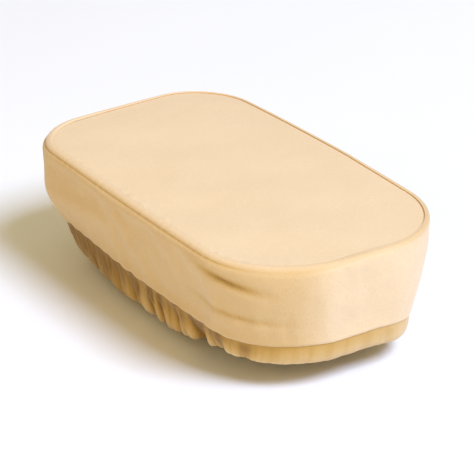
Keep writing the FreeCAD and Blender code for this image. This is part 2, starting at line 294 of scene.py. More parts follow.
def wall_taper(s, height):
    """How far the wall has drawn in at a height: slowly at the front, in a short curve at the rear."""
    rear = share_of_rear(s, -60, 160)
    turn = TURN_FRONT - (TURN_FRONT - TURN_REAR) * rear
    power = 1.25 + 0.5 * rear + 0.4 * facing(s, -34, 2)
    return lip_inset(s) * np.clip(1 - height / turn, 0, 1) ** power


def band_section():
    """From the seam groove over the shoulder and down a plumb wall, round the lip and in.

    The wall's taper and the lip's drop are added later, because they change round the pad.
    """
    groove = [(SEAM_INSET + 0.1, TOP - 1.5), (SEAM_INSET - 0.05, TOP - 0.7)]
    shoulder = section_arc((SHOULDER, TOP - SHOULDER), SHOULDER, 88, 0)
    wall = [(0, height) for height in np.linspace(TOP - SHOULDER - 1, 0.4, 40)]
    fold = section_arc((LIP_FOLD, 0.1), LIP_FOLD, 0, -95, 8)
    inside = [(inset, -0.85) for inset in np.linspace(LIP_FOLD + 1, LIP_FOLD + 6, 5)]
    return Section(groove + shoulder + wall + fold + inside)


BAND = band_section()


def seam_inset(s):
    """How far in the top seam lies: it runs out towards the edge on the right."""
    return SEAM_INSET * (1 - SEAM_RUN_OUT * smooth(1.3 * across(s)))


def sharpen(s, inset, height):
    """Squeeze the round shoulder into a crisp edge at the front and the front right."""
    in_front = 1 - share_of_rear(s, -70, 100)
    power = 1 - CRISPNESS * in_front * smooth(1.6 * across(s) + 0.95)
    drop = TOP - height
    on_shoulder = (drop < SHOULDER) & (inset < SHOULDER)
    sharp_inset = SHOULDER * (1 - np.clip(1 - inset / SHOULDER, 0, 1) ** power)
    sharp_drop = SHOULDER * (1 - np.clip(1 - drop / SHOULDER, 0, 1) ** power)
    sharp_inset = sharp_inset * seam_inset(s) / SEAM_INSET
    return np.where(on_shoulder, sharp_inset, inset), TOP - np.where(on_shoulder, sharp_drop, drop)


def seam_strength(s):
    """The top seam is a clear groove on the left, soft at both ends and flat on the right."""
    left = smooth(0.42 - 0.9 * across(s)) ** 1.8
    return 0.03 + 0.97 * left * (1 - 0.7 * share_of_rear(s, 70, 45))


def close_groove(s, h, inset, height):
    """Lift the band's first rows flush with the top panel where the seam lies flat."""
    flat = 1 - seam_strength(s)
    flush = flat * np.clip((2.4 - h) / 0.8, 0, 1)
    tuck = seam_inset(s) + SEAM_TUCK
    shoulder_start, _ = sharpen(s, SEAM_INSET, TOP)
    even = tuck + (shoulder_start - tuck) * h / GROOVE_LENGTH
    inset = np.where(h < GROOVE_LENGTH, inset + flat * (even - inset), inset)
    return inset, height + flush * np.maximum(TOP - 0.04 - height, 0)


def band_point(s, h, off=0.0):
    """Points of the band at distances s round and h down, standing off by off."""
    inset, height, normal_inset, normal_height = BAND.at(h)
    inset, height = close_groove(s, h, *sharpen(s, inset, height))
    inset = inset + wall_taper(s, height) + normal_inset * off
    height = height - lip_drop(s) * smooth(1 - height / TOP) + normal_height * off
    return place(s, inset, height)


def skirt_depth(s):
    """How far the skirt hangs: least at the front, most from the middle of the pad to the rear."""
    rear = share_of_rear(s, -80, 70)
    depth = SKIRT_DEPTH_FRONT + (SKIRT_DEPTH_REAR - SKIRT_DEPTH_FRONT) * rear
    return depth + SKIRT_DEPTH_CORNER * facing(s, -34, 6)


def skirt_corners(s):
    """Four (inset, height) corners that guide the skirt's curve from the lip to the casing."""
    cone = share_of_rear(s, -60, 150) + 1.6 * share_of_rear(s, 40, 60)
    recess = SKIRT_RECESS * facing(s, LEFT, 2)
    lip, drop, depth = lip_inset(s), lip_drop(s), skirt_depth(s)
    top = (lip + 0.9, -drop - 0.6)
    upper = (lip + 0.8 + 1.0 * cone + recess, -drop - depth * 0.62)
    lower = (lip + 1.5 + 3.0 * cone, -drop - depth * 1.1)
    foot = (lip + 14.0 + 4.0 * cone, -drop - depth)
    return top, upper, lower, foot


def skirt_point(s, t):
    """Inset and height on the smooth skirt, for t from 0 at the lip to 1 where the casing starts."""
    corners = skirt_corners(s)
    weights = ((1 - t) ** 3, 3 * t * (1 - t) ** 2, 3 * t * t * (1 - t), t ** 3)
    inset = sum(w * corner[0] for w, corner in zip(weights, corners))
    height = sum(w * corner[1] for w, corner in zip(weights, corners))
    return inset, height


# ---- meshes

def grid_faces(around, along):
    """Faces of a grid whose last row of the first axis joins its first."""
    index = np.arange(around * along).reshape(around, along)
    following = np.roll(index, -1, axis=0)
    faces = np.stack([index[:, :-1], following[:, :-1], following[:, 1:], index[:, 1:]], axis=-1)
    return faces.reshape(-1, 4).tolist()


def mesh_object(name, points, faces, material):
    """A smooth-shaded piece from points in mm."""
    mesh = bpy.data.meshes.new(name)
    mesh.from_pydata((np.asarray(points) * MM).tolist(), [], faces)
    mesh.shade_smooth()
    mesh.materials.append(material)
    piece = bpy.data.objects.new(name, mesh)
    bpy.context.scene.collection.objects.link(piece)
    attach(piece, BODY)
    return piece


def store_painted_shade(piece, painted_shade):
    """Store painted shade for each point, 0 to 1, for the cloth's material to read: darker in folds,
    creases and under the lip.
    """
    attribute = piece.data.attributes.new("painted_shade", "FLOAT", "POINT")
    values = np.zeros(len(piece.data.vertices), np.float32)
    values[:painted_shade.size] = np.clip(painted_shade, 0, 1).ravel()
    attribute.data.foreach_set("value", values)


def ring_object(name, grid, material, cap_first=False, cap_last=False):
    """A piece from rings that run round the pad, with a fan over either end if asked."""
    around, along = grid.shape[:2]
    points = grid.reshape(-1, 3)
    faces = grid_faces(around, along)
    ring = np.arange(around) * along
    following = np.roll(ring, -1)
    if cap_first:
        faces += [[b, a, len(points)] for a, b in zip(ring.tolist(), following.tolist())]
        points = np.vstack([points, grid[:, 0].mean(axis=0)])
    if cap_last:
        step = along - 1
        faces += [[a + step, b + step, len(points)] for a, b in zip(ring.tolist(), following.tolist())]
        points = np.vstack([points, grid[:, -1].mean(axis=0)])
    return mesh_object(name, points, faces, material)


def thicken(piece, thickness):
    """Give a single layer of cloth its thickness, inwards from the surface it was drawn on."""
    solid = piece.modifiers.new("thickness", "SOLIDIFY")
    solid.thickness = thickness * MM
    solid.offset = -1.0
    graph = bpy.context.evaluated_depsgraph_get()
    mesh = bpy.data.meshes.new_from_object(piece.evaluated_get(graph))
    piece.modifiers.clear()
    piece.data = mesh
    mesh.shade_smooth()


def grid_normals(grid):
    """Outward unit normals of a closed grid of points."""
    round_pad = np.roll(grid, -1, axis=0) - np.roll(grid, 1, axis=0)
    return unit(np.cross(np.gradient(grid, axis=1), round_pad))


# ---- cloth simulation

SIM_SCALE = 10.0        # the solver works on the cloth at ten times its size
WEIGHT_STEPS = 20


def weigh(piece, name, grid_weights):
    """Give the points of a grid their weights in a vertex group, rounded to WEIGHT_STEPS."""
    group = piece.vertex_groups.new(name=name)
    steps = np.round(np.ravel(grid_weights) * WEIGHT_STEPS).astype(int)
    for step in np.unique(steps[steps > 0]):
        group.add(np.flatnonzero(steps == step).tolist(), step / WEIGHT_STEPS, "REPLACE")


def add_cloth(draft, growth, pressure, bending, frames):
    """Give a piece the solver's settings for a light, well-damped cloth without gravity."""
    cloth = draft.modifiers.new("cloth", "CLOTH")
    settings = cloth.settings
    settings.vertex_group_mass = "held"
    settings.vertex_group_shrink = "calm"
    settings.quality = 5
    settings.mass = 0.02
    settings.air_damping = 4.0
    settings.tension_stiffness = 20.0
    settings.compression_stiffness = 20.0
    settings.shear_stiffness = 4.0
    settings.bending_stiffness = bending
    settings.shrink_min = -growth
    settings.shrink_max = 0.0
    settings.use_pressure = pressure != 0
    settings.uniform_pressure_force = pressure
    settings.effector_weights.gravity = 0.0
    cloth.collision_settings.use_collision = False
    cloth.point_cache.frame_start = 1
    cloth.point_cache.frame_end = frames


def settle_cloth(grid, held, calm, growth, pressure, bending, frames):
    """Let a grid of cloth find its own folds between its held rows.

    growth is the share by which the cloth is cut longer than the space that it is sewn into,
    where calm is 0; where calm is 1 it is cut to fit.
    """
    scene = bpy.context.scene
    mesh = bpy.data.meshes.new("draft")
    mesh.from_pydata((grid.reshape(-1, 3) * MM * SIM_SCALE).tolist(), [],
                     grid_faces(*grid.shape[:2]))
    draft = bpy.data.objects.new("draft", mesh)
    scene.collection.objects.link(draft)
    weigh(draft, "held", np.broadcast_to(held, grid.shape[:2]))
    weigh(draft, "calm", np.broadcast_to(calm, grid.shape[:2]))
    add_cloth(draft, growth, pressure, bending, frames)
    for number in range(1, frames + 1):
        scene.frame_set(number)
    graph = bpy.context.evaluated_depsgraph_get()
    settled = draft.evaluated_get(graph).data
    flat = np.empty(len(settled.vertices) * 3)
    settled.vertices.foreach_get("co", flat)
    bpy.data.objects.remove(draft)
    scene.frame_set(1)
    return flat.reshape(grid.shape) / (MM * SIM_SCALE)


# ---- materials

def new_material(name):
    """A material with only its shader and output, for the functions below to fill in."""
    material = bpy.data.materials.new(name)
    material.use_nodes = True
    tree = material.node_tree
    tree.nodes.clear()
    output = tree.nodes.new("ShaderNodeOutputMaterial")
    shader = tree.nodes.new("ShaderNodeBsdfPrincipled")
    tree.links.new(shader.outputs["BSDF"], output.inputs["Surface"])
    return material, tree, shader


def object_place(tree):
    return tree.nodes.new("ShaderNodeTexCoord").outputs["Object"]


def pattern_node(tree, kind, where, **inputs):
    """A procedural texture read at the coordinates where."""
    node = tree.nodes.new("ShaderNodeTex" + kind)
    for name, value in inputs.items():
        node.inputs[name].default_value = value
    tree.links.new(where, node.inputs["Vector"])
    return node


def noise_node(tree, where, scale, detail=4.0, roughness=0.55):
    node = pattern_node(tree, "Noise", where, Scale=scale, Detail=detail, Roughness=roughness)
    return node.outputs["Fac"]


def cell_node(tree, where, scale):
    return pattern_node(tree, "Voronoi", where, Scale=scale).outputs["Distance"]


def weave_node(tree, where, scale):
    """Threads along X and Y that cross each other."""
    crossed = tree.nodes.new("ShaderNodeMath")
    crossed.operation = "MULTIPLY"
    for direction, socket in zip("XY", crossed.inputs):
        threads = pattern_node(tree, "Wave", where, Scale=scale)
        threads.bands_direction = direction
        tree.links.new(threads.outputs["Fac"], socket)
    return crossed.outputs["Value"]


def ramp_node(tree, factor, stops):
    node = tree.nodes.new("ShaderNodeValToRGB")
    ramp = node.color_ramp
    for element, (position, colour) in zip(ramp.elements, (stops[0], stops[-1])):
        element.position, element.color = position, (*colour, 1)
    for position, colour in stops[1:-1]:
        ramp.elements.new(position).color = (*colour, 1)
    tree.links.new(factor, node.inputs["Fac"])
    return node.outputs["Color"]


def multiply_node(tree, first, second):
    node = tree.nodes.new("ShaderNodeMix")
    node.data_type = "RGBA"
    node.blend_type = "MULTIPLY"
    node.inputs["Factor"].default_value = 1.0
    tree.links.new(first, node.inputs["A"])
    tree.links.new(second, node.inputs["B"])
    return node.outputs["Result"]


def bump_node(tree, height, strength, distance, before=None):
    node = tree.nodes.new("ShaderNodeBump")
    node.inputs["Strength"].default_value = strength
    node.inputs["Distance"].default_value = distance
    tree.links.new(height, node.inputs["Height"])
    if before:
        tree.links.new(before, node.inputs["Normal"])
    return node.outputs["Normal"]


def suede_material(name, deep, pale):
    """Short-pile cloth: faint brushed patches, heathered fibres, painted shade in the folds and a faint
    painted highlight on ridges.
    """
    material, tree, shader = new_material(name)
    where = object_place(tree)
    brushed = noise_node(tree, where, 24.0, detail=3.0)
    tone = ramp_node(tree, brushed, [(0.30, deep), (0.70, pale)])
    heather = noise_node(tree, where, 1100.0, detail=3.0, roughness=0.7)
    flecks = ramp_node(tree, heather, [(0.35, (0.93, 0.92, 0.89)), (0.65, (1.0, 1.0, 1.0))])
    colour = multiply_node(tree, tone, flecks)
    # Painted shade: concave places, where shade falls, are darkened, and ridges get a faint painted
    # highlight.
    bend = tree.nodes.new("ShaderNodeNewGeometry").outputs["Pointiness"]
    folds = ramp_node(tree, bend, [(0.43, (0.58, 0.45, 0.27)), (0.492, (1.0, 1.0, 1.0)),
                                   (0.56, (1.03, 1.03, 1.05))])
    # Painted shade stored on the points: the more shade, the darker and more golden the cloth.
    painted_shade = tree.nodes.new("ShaderNodeAttribute")
    painted_shade.attribute_name = "painted_shade"
    shadow = ramp_node(tree, painted_shade.outputs["Fac"],
                       [(0.0, (1.0, 1.0, 1.0)), (0.5, (0.74, 0.61, 0.31)), (1.0, (0.36, 0.25, 0.07))])
    colour = multiply_node(tree, multiply_node(tree, colour, folds), shadow)
    tree.links.new(colour, shader.inputs["Base Color"])
    # Relief of the pile's nap, as bumps only.
    nap_and_left_wall_shade = noise_node(tree, where, 420.0, detail=4.0, roughness=0.6)
    relief = bump_node(tree, nap_and_left_wall_shade, 0.30, 0.0004)
    relief = bump_node(tree, heather, 0.45, 0.00015, before=relief)
    tree.links.new(relief, shader.inputs["Normal"])
    shader.inputs["Roughness"].default_value = 0.95
    shader.inputs["Specular IOR Level"].default_value = 0.12
    shader.inputs["Sheen Weight"].default_value = 0.30
    shader.inputs["Sheen Roughness"].default_value = 0.5
    shader.inputs["Sheen Tint"].default_value = (0.88, 0.94, 1.0, 1)
    return material


def trim_material(name, pattern, scale, tones, relief, roughness, sheen=0.0):
    """A material whose colour and relief both follow one pattern; relief is strength and distance."""
    material, tree, shader = new_material(name)
    grain = pattern(tree, object_place(tree), scale)
    tree.links.new(ramp_node(tree, grain, tones), shader.inputs["Base Color"])
    tree.links.new(bump_node(tree, grain, *relief), shader.inputs["Normal"])
    shader.inputs["Roughness"].default_value = roughness
    shader.inputs["Sheen Weight"].default_value = sheen
    return material


def yarn_node(tree, where, scale):
    return noise_node(tree, where, scale, detail=2.0)


def thread_material():
    """Twisted polyester thread."""
    tones = [(0.3, (0.60, 0.42, 0.19)), (0.7, (0.76, 0.58, 0.32))]
    return trim_material("thread", yarn_node, 3000.0, tones, (0.4, 0.0001), 0.6, sheen=0.2)


def elastic_material():
    """Knitted elastic; its ribs are in the mesh, and this is the knit across them."""
    tones = [(0.3, (0.70, 0.68, 0.62)), (0.7, (0.86, 0.85, 0.80))]
    return trim_material("elastic", yarn_node, 1800.0, tones, (0.5, 0.0002), 0.75, sheen=0.2)


def foam_material():
    """Open-cell foam: pores of about a millimetre."""
    tones = [(0.1, (0.62, 0.55, 0.36)), (0.5, (0.84, 0.79, 0.62))]
    return trim_material("foam", cell_node, 900.0, tones, (0.6, 0.0006), 0.9)


def grip_material():
    """Plain-woven backing cloth that carries the non-slip dots."""
    tones = [(0.1, (0.50, 0.42, 0.28)), (0.8, (0.68, 0.60, 0.45))]
    return trim_material("grip", weave_node, 260.0, tones, (0.5, 0.0003), 0.85)


def dot_material():
    """Soft silicone dots."""
    tones = [(0.3, (0.60, 0.56, 0.48)), (0.7, (0.68, 0.64, 0.56))]
    return trim_material("grip_dots", noise_node, 300.0, tones, (0.2, 0.0001), 0.35)


def floor_material():
    """Matt pale studio paper."""
    material, tree, shader = new_material("floor")
    tone = noise_node(tree, object_place(tree), 6.0)
    colour = ramp_node(tree, tone, [(0.3, (0.875, 0.885, 0.905)), (0.7, (0.89, 0.90, 0.92))])
    tree.links.new(colour, shader.inputs["Base Color"])
    shader.inputs["Roughness"].default_value = 0.7
    return material


SUEDE = suede_material("cover_cloth", deep=(0.785, 0.590, 0.365), pale=(0.812, 0.617, 0.390))
# A darker, more golden copy of the cover cloth: painted shade for the skirt, which lies in shade under
# the lip.
SHADED_SKIRT_SUEDE = suede_material("cover_cloth_skirt_painted_shade", deep=(0.720, 0.515, 0.250),
                             pale=(0.770, 0.560, 0.290))
THREAD = thread_material()
ELASTIC = elastic_material()
FOAM = foam_material()
GRIP = grip_material()
DOTS = dot_material()


# ---- top panel

CROWN = 0.8             # how far the foam lifts the middle of the top
SEAM_SINK = 0.9         # how far the edge of the top panel is pulled into the seam
SEAM_ALLOWANCE = 8.0    # cloth turned in beyond the top seam
PANEL_AROUND, PANEL_RINGS = 600, 70
PANEL_HUB = 0.985       # share of the way to the middle at which the last ring lies


def cut_size(rim):
    """Length, width and area of the cloth that an outline is cut from, seam allowance included."""
    following = np.roll(rim, -1, axis=0)
    area = abs(np.sum(rim[:, 0] * following[:, 1] - rim[:, 1] * following[:, 0])) / 2
    edge = np.sum(np.linalg.norm(following - rim, axis=1))
    width, length = np.ptp(rim, axis=0) + 2 * SEAM_ALLOWANCE
    area += edge * SEAM_ALLOWANCE + math.pi * SEAM_ALLOWANCE ** 2
    return (float(width * MM), float(length * MM)), float(area * MM * MM)


def make_top_panel():
    """The flat cloth top, crowned by the foam and pulled down into the seam all round."""
    s = spaced_round(PANEL_AROUND)
    rim = place(s, seam_inset(s), TOP)[:, :2]
    share = 1 - np.linspace(0, 1, PANEL_RINGS) ** 1.6 * PANEL_HUB
    flat = rim[:, None, :] * share[None, :, None]
    from_seam = np.linalg.norm(rim[:, None, :] - flat, axis=-1)
    height = TOP - SEAM_SINK * seam_strength(s)[:, None] * np.exp(-(from_seam / 1.2) ** 2)
    height += CROWN * (1 - np.exp(-(from_seam / 24.0) ** 1.3))
    away = smooth(from_seam / 16)
    height += away * (0.22 * waves(flat, 60.0, seed=3) + 0.06 * waves(flat, 19.0, seed=4))
    puckers = ring_waves(s, 9.0, seed=5) * seam_strength(s)
    height += 0.12 * puckers[:, None] * bump_at(from_seam, 2.5, 3.0)
    height -= top_dip(flat[..., 0], flat[..., 1])
    grid = np.concatenate([flat, height[..., None]], axis=-1)
    panel = ring_object("top_panel_cloth", grid, SUEDE, cap_last=True)
    thicken(panel, CLOTH)
    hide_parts("top_panel")
    flat_size, flat_area = cut_size(rim)


# ---- side band

BAND_AROUND = 540
STITCH_H = 5.4          # distance from the seam groove to the topstitching
LIP_H = BAND.length - 6.5       # and to the lip
CREASE_S = 248.0        # where the slack fold at the front left corner is deepest


def band_steps():
    """Distances down the band: close together at the seams and the lip, wider on the wall."""
    top = np.linspace(0, STITCH_H + 2.5, 18, endpoint=False)
    wall = np.linspace(STITCH_H + 2.5, LIP_H - 4, 26, endpoint=False)
    lip = np.linspace(LIP_H - 4, BAND.length, 16)
    return np.concatenate([top, wall, lip])


def stitch_strength(s):
    """The topstitching shows along the left and rear and fades round the front and the right."""
    return 0.15 + 0.85 * smooth(0.5 - across(s)) * share_of_rear(s, -108, 35)


def crease_relief(s, h):
    """A slack fold that leaves the topstitching at the front left corner, and one above the lip."""
    along = s - CREASE_S
    path = 12.9 + 0.17 * along
    valley = -1.35 * bump_at(h, path, 3.0)
    roll = 0.5 * bump_at(h, path + 4.8, 3.4) + 0.2 * bump_at(h, path - 4.4, 2.6) * smooth((h - 4) / 4)
    upper = bump_at(along, 5.0, 16.0) * (valley + roll)
    low_path = 33.5 + 0.06 * along
    low = -0.50 * bump_at(h, low_path, 2.4) + 0.40 * bump_at(h, low_path + 5.0, 2.8)
    return upper + np.exp(-((along - 4) / 28.0) ** 2) * low


def band_painted_shade(s, h):
    """Painted shade: darker in the creases, along the seam groove and topstitching, over the left wall
    away from the key light, and on the front's edge.
    """
    # Painted shade where the slack folds sink in.
    crease = -0.42 * crease_relief(s, h)
    # Painted shade in the seam groove and along the topstitching.
    seam = 0.45 * seam_strength(s) * np.exp(-h / 0.9)
    stitch = 0.30 * stitch_strength(s) * bump_at(h, STITCH_H, 0.9)
    # Painted shade over the left wall, which lies away from the key light, a little darker towards the
    # lip.
    left = smooth(2 * facing(s, LEFT, 1)) * smooth((h - 1) / 5)
    nap_and_left_wall_shade = left * (0.27 + 0.05 * smooth((h - LIP_H + 12) / 12))
    # Painted shade on the front's shoulder, which dulls the highlight that the key light puts there.
    edge = 0.25 * facing(s, -50, 2) * bump_at(h, 3.4, 3.2)
    return np.clip(crease, 0, 1) + seam + stitch + nap_and_left_wall_shade + edge


def band_relief(s, h):
    """How far the sewn band stands off its settled wall: strip, stitch line, puckers, joint."""
    strength = stitch_strength(s)
    strip = 0.25 * seam_strength(s) * bump_at(h, STITCH_H / 2 + 0.6, 2.0)
    groove = -0.50 * strength * bump_at(h, STITCH_H, 0.8)
    pucker = 0.10 * ring_waves(s, 6.5, seed=11) * np.exp(-np.abs(h - STITCH_H) / 3.0)
    lip_edge = 0.25 * ring_waves(s, 15.0, seed=14) * smooth((h - LIP_H + 12) / 12)
    lip_edge *= 1 - 0.8 * share_of_front(s)
    from_joint = np.abs(np.mod(s + PERIMETER / 2, PERIMETER) - PERIMETER / 2)
    joint = -0.7 * np.exp(-(from_joint / 0.7) ** 2) + 0.35 * bump_at(from_joint, 2.2, 1.4)
    sewn = strip + groove + strength * pucker + lip_edge + joint * smooth((h - 3) / 8)
    return (sewn + crease_relief(s, h)) * smooth(h / 2.0) * smooth((BAND.length - h) / 4)


def share_of_front(s):
    """1 round the front end, where the cover fits closely, falling to 0 along the sides."""
    return 1 - share_of_rear(s, -105, 40)


def band_grid():
    """The band's cloth, settled between the topstitching and the lip and then sewn, and its painted
    shade.
    """
    s, h = np.meshgrid(spaced_round(BAND_AROUND), band_steps(), indexing="ij")
    wall = smooth((h - STITCH_H) / 8) * smooth((LIP_H - h) / 6)
    ripple = 0.16 * ring_waves(s + 1.5 * h, 70.0, seed=12) + 0.07 * ring_waves(s - h, 32.0, seed=13)
    ripple *= 1 - share_of_front(s)
    start = band_point(s, h, off=wall * (0.25 + ripple))
    held = ((h < STITCH_H + 1) | (h > LIP_H - 1)).astype(float)
    settled = settle_cloth(start, held, share_of_front(s), growth=0.002, pressure=0.6, bending=20.0,
                           frames=8)
    return settled + grid_normals(settled) * band_relief(s, h)[..., None], band_painted_shade(s, h)


def make_side_band():
    """The cloth wall; gives back its grid of points for the stitches that lie on it."""
    grid, painted_shade = band_grid()
    band = ring_object("side_band_cloth", grid, SUEDE)
    store_painted_shade(band, painted_shade)
    thicken(band, CLOTH)
    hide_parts("side_band")
    return grid


# ---- skirt

HEM_INSET = 31.0        # edge of the skirt's mouth
CASING_START = 22.5     # where the casing's inner edge is sewn down
CASING_HEIGHT = 4.2
SKIRT_AROUND, SKIRT_ROWS = 900, 22
FOLD_DEPTH = 4.4        # depth of a gather of size 1
FOLD_SET_BACK = 1.2     # how far in the gathered cloth lies, so that its ridges keep the outline


def fold_table(seed, shortest, longest):
    """Distances and sizes of the gathers: uneven along the sides, closer at the front."""
    rng = np.random.RandomState(seed)
    centres = [0.0]
    while centres[-1] < PERIMETER:
        close = 1 - 0.35 * float(share_of_front(np.array(centres[-1])))
        centres.append(centres[-1] + rng.uniform(shortest, longest) * close)
    centres = np.array(centres) * PERIMETER / centres[-1]
    sizes = rng.uniform(0.15, 1.45, size=len(centres))
    sizes[-1] = sizes[0]
    return centres, sizes


WIDE_FOLDS = fold_table(21, 8.0, 26.0)
SMALL_FOLDS = fold_table(22, 4.5, 10.0)


def left_rear(s):
    """1 where the skirt is drawn flat, behind the middle of the left side, 0 elsewhere."""
    return smooth(4 * facing(s, LEFT, 1) - 3) * share_of_rear(s, 0, 40) * (1 - share_of_rear(s, 84, 20))


def gather_depth(s):
    """The gathers are deep along the sides, and shallow round the front end and at the rear left."""
    return (1 - 0.90 * share_of_front(s)) * (1 - 0.75 * left_rear(s))


def fold_valley(s, t, folds, sharpness):
    """Depth of the gathers at a point of the skirt: 0 on a ridge, up to a gather's size in a valley."""
    centres, sizes = folds
    lean = 3.0 * ring_waves(s, 80.0, seed=22) - 7.0 * across(s)
    leaning = np.mod(s + lean * t, PERIMETER)
    phase = np.interp(leaning, centres, np.arange(len(centres)) * TAU)
    power = sharpness * 2 ** ring_waves(s, 55.0, seed=25)
    return (1 - np.abs(np.cos(phase / 2)) ** power) * np.interp(leaning, centres, sizes)


def skirt_valleys(s, t):
    """Depth of the wide and the small gathers together, where the skirt is gathered at all."""
    wide = fold_valley(s, t, WIDE_FOLDS, 0.7)
    small = fold_valley(s, t, SMALL_FOLDS, 1.2)
    return gather_depth(s) * (wide + 0.30 * small)


def skirt_folds(s, t):
    """How far the gathers stand off the smooth skirt, always inwards; they grow towards the hem."""
    gathered = FOLD_SET_BACK * gather_depth(s) + FOLD_DEPTH * skirt_valleys(s, t)
    return -gathered * smooth(t / 0.5)


def skirt_painted_shade(s, t):
    """Painted shade: darker in the valleys of the gathers, in the shelter of the lip, along the left
    side and at the flat rear left and front left.
    """
    left = smooth(0.8 - 0.9 * across(s))
    # Painted shadow under the lip, deepest on the left.
    sheltered = (0.10 + 0.25 * left + 0.34 * gather_depth(s) * left) * smooth((0.6 - t) / 0.6)
    # Painted shade where the skirt lies flat at the rear left, and at the front left corner.
    flat = 0.55 * left_rear(s) + 0.12 * facing(s, -140, 10)
    # Painted shade over the whole left side and in the valleys of the gathers.
    return 0.06 * left + sheltered + flat + 1.30 * skirt_valleys(s, t) * smooth((t + 0.1) / 0.35)


def hem_scallops(s):
    """How far the elastic draws the edge of the hem up between its gathers."""
    return np.abs(ring_waves(s, 20.0, seed=24))


def skirt_wall(s, t):
    """The free part of the skirt, from the lip to where the hem casing starts underneath."""
    inset, height = skirt_point(s, t)
    off = skirt_folds(s, t)
    sideways = 1 - 0.75 * smooth((t - 0.55) / 0.45)
    height = height - off * (1 - sideways) * 0.9 + hem_scallops(s) * smooth((t - 0.6) / 0.4)
    return place(s, inset - off * sideways, height)


def casing_rows(foot):
    """(inset, rise) rings of the hem casing: in along the bottom, round the edge and back."""
    radius = CASING_HEIGHT / 2
    edge = HEM_INSET - radius
    bottom = [(foot + (edge - foot) * share, 0.0) for share in (0.25, 0.5, 0.75, 1.0)]
    turn = [(edge + radius * math.sin(a), radius * (1 - math.cos(a)))
            for a in np.radians(np.linspace(20, 160, 6))]
    back = [(inset, CASING_HEIGHT) for inset in np.linspace(edge, CASING_START, 7)]
    return bottom + turn + back


def skirt_grid():
    """The skirt's cloth, settled between the lip and the casing, and its painted shade."""
    s = spaced_round(SKIRT_AROUND)
    s_wall, t = np.meshgrid(s, np.linspace(0, 1, SKIRT_ROWS), indexing="ij")
    wall = skirt_wall(s_wall, t)
    foot, foot_height = skirt_point(s, 1.0)
    ruffle = skirt_folds(s, 1.0)
    scallops = hem_scallops(s)
    rows = [place(s, inset + 0.5 * scallops, foot_height + rise - 0.25 * ruffle + scallops)
            for inset, rise in casing_rows(foot)]
    start = np.concatenate([wall, np.stack(rows, axis=1)], axis=1)
    held = np.zeros(start.shape[1])
    held[:2] = 1.0
    held[SKIRT_ROWS - 1:] = 1.0
    settled = settle_cloth(start, held[None, :], share_of_front(s)[:, None], growth=0.05,
                           pressure=0.0, bending=0.5, frames=12)
    t_all = np.minimum(np.arange(start.shape[1]) / (SKIRT_ROWS - 1), 1)
    return settled, skirt_painted_shade(*np.meshgrid(s, t_all, indexing="ij"))


def make_skirt():
    """The gathered cloth below the lip, with its hem casing."""
    grid, painted_shade = skirt_grid()
    skirt = ring_object("skirt_cloth", grid, SHADED_SKIRT_SUEDE)
    store_painted_shade(skirt, painted_shade)
    thicken(skirt, SKIRT_CLOTH)
    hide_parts("skirt")


ELASTIC_INSET = (HEM_INSET + CASING_START) / 2
ELASTIC_AROUND = 700
ELASTIC_WIDTH, ELASTIC_THICKNESS = 5.2, 0.8
RIB_PITCH = 0.95
RIB_RISE = 0.18         # how far the ribs swell and shrink the elastic, as a share of its thickness


def make_hem_elastic():
    """Ribbed elastic inside the casing: it follows the hem and keeps its width."""
    s = spaced_round(ELASTIC_AROUND)
    _, foot_height = skirt_point(s, 1.0)
    middle = foot_height + CASING_HEIGHT / 2
    half_width, half_thickness = ELASTIC_WIDTH / 2, ELASTIC_THICKNESS / 2
    corners = [(-half_width, -half_thickness), (half_width, -half_thickness),
               (half_width, half_thickness), (-half_width, half_thickness)]
    section = []
    for (x0, z0), (x1, z1) in zip(corners, corners[1:] + corners[:1]):
        for step in np.linspace(0, 1, 12 if x0 != x1 else 2, endpoint=False):
            section.append((x0 + (x1 - x0) * step, z0 + (z1 - z0) * step))
    section.append(section[0])
    rows = [place(s, ELASTIC_INSET + x, middle + z * (1 + RIB_RISE * math.cos(x * TAU / RIB_PITCH)))
            for x, z in reversed(section)]
    elastic = ring_object("hem_elastic_ribbon", np.stack(rows, axis=1), ELASTIC)
    weld(elastic)
    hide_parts("hem_elastic")


def weld(piece):
    """Join points that lie on each other, where a section closes on itself."""
    mesh = bmesh.new()
    mesh.from_mesh(piece.data)
    bmesh.ops.remove_doubles(mesh, verts=mesh.verts, dist=0.01 * MM)
    bmesh.ops.recalc_face_normals(mesh, faces=mesh.faces)
    mesh.to_mesh(piece.data)
    mesh.free()


# ---- foam and grip sheet

FILLING_AROUND = 360
FOAM_GAP = CLOTH + 1.0  # from the outside of the cover to the foam
FOAM_FLOOR = 1.5        # height of the foam's flat underside
FOAM_FLAT = 34.0        # inset beyond which its top and underside are closed by a fan


def make_foam():
    """The foam block that fills the cover, with a crowned top and a flat underside."""
    s = spaced_round(FILLING_AROUND)
    top = [(inset, TOP - FOAM_GAP - 0.8 + CROWN * (1 - math.exp(-((inset - 4) / 24) ** 2)))
           for inset in np.linspace(FOAM_FLAT, 6.5, 14)]
    shoulder = section_arc((5.4, TOP - FOAM_GAP - 4.2), 5.4 - FOAM_GAP, 80, 0, 8)
    wall = [(FOAM_GAP, height) for height in np.linspace(TOP - 9, 3, 16)]
    foot = [(FOAM_GAP + 0.6, FOAM_FLOOR + 0.4), (FOAM_GAP + 2, FOAM_FLOOR)]
    under = [(inset, FOAM_FLOOR) for inset in np.linspace(8, FOAM_FLAT, 8)]
    rows = []
    for inset, height in top + shoulder + wall + foot + under:
        taper = wall_taper(s, height) if height < TOP - 5 else 0 * s
        rows.append(place(s, inset + np.minimum(taper, FOAM_FLAT - inset), height))
    foam = ring_object("foam_block", np.stack(rows, axis=1), FOAM, cap_first=True, cap_last=True)
    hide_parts("foam_core")


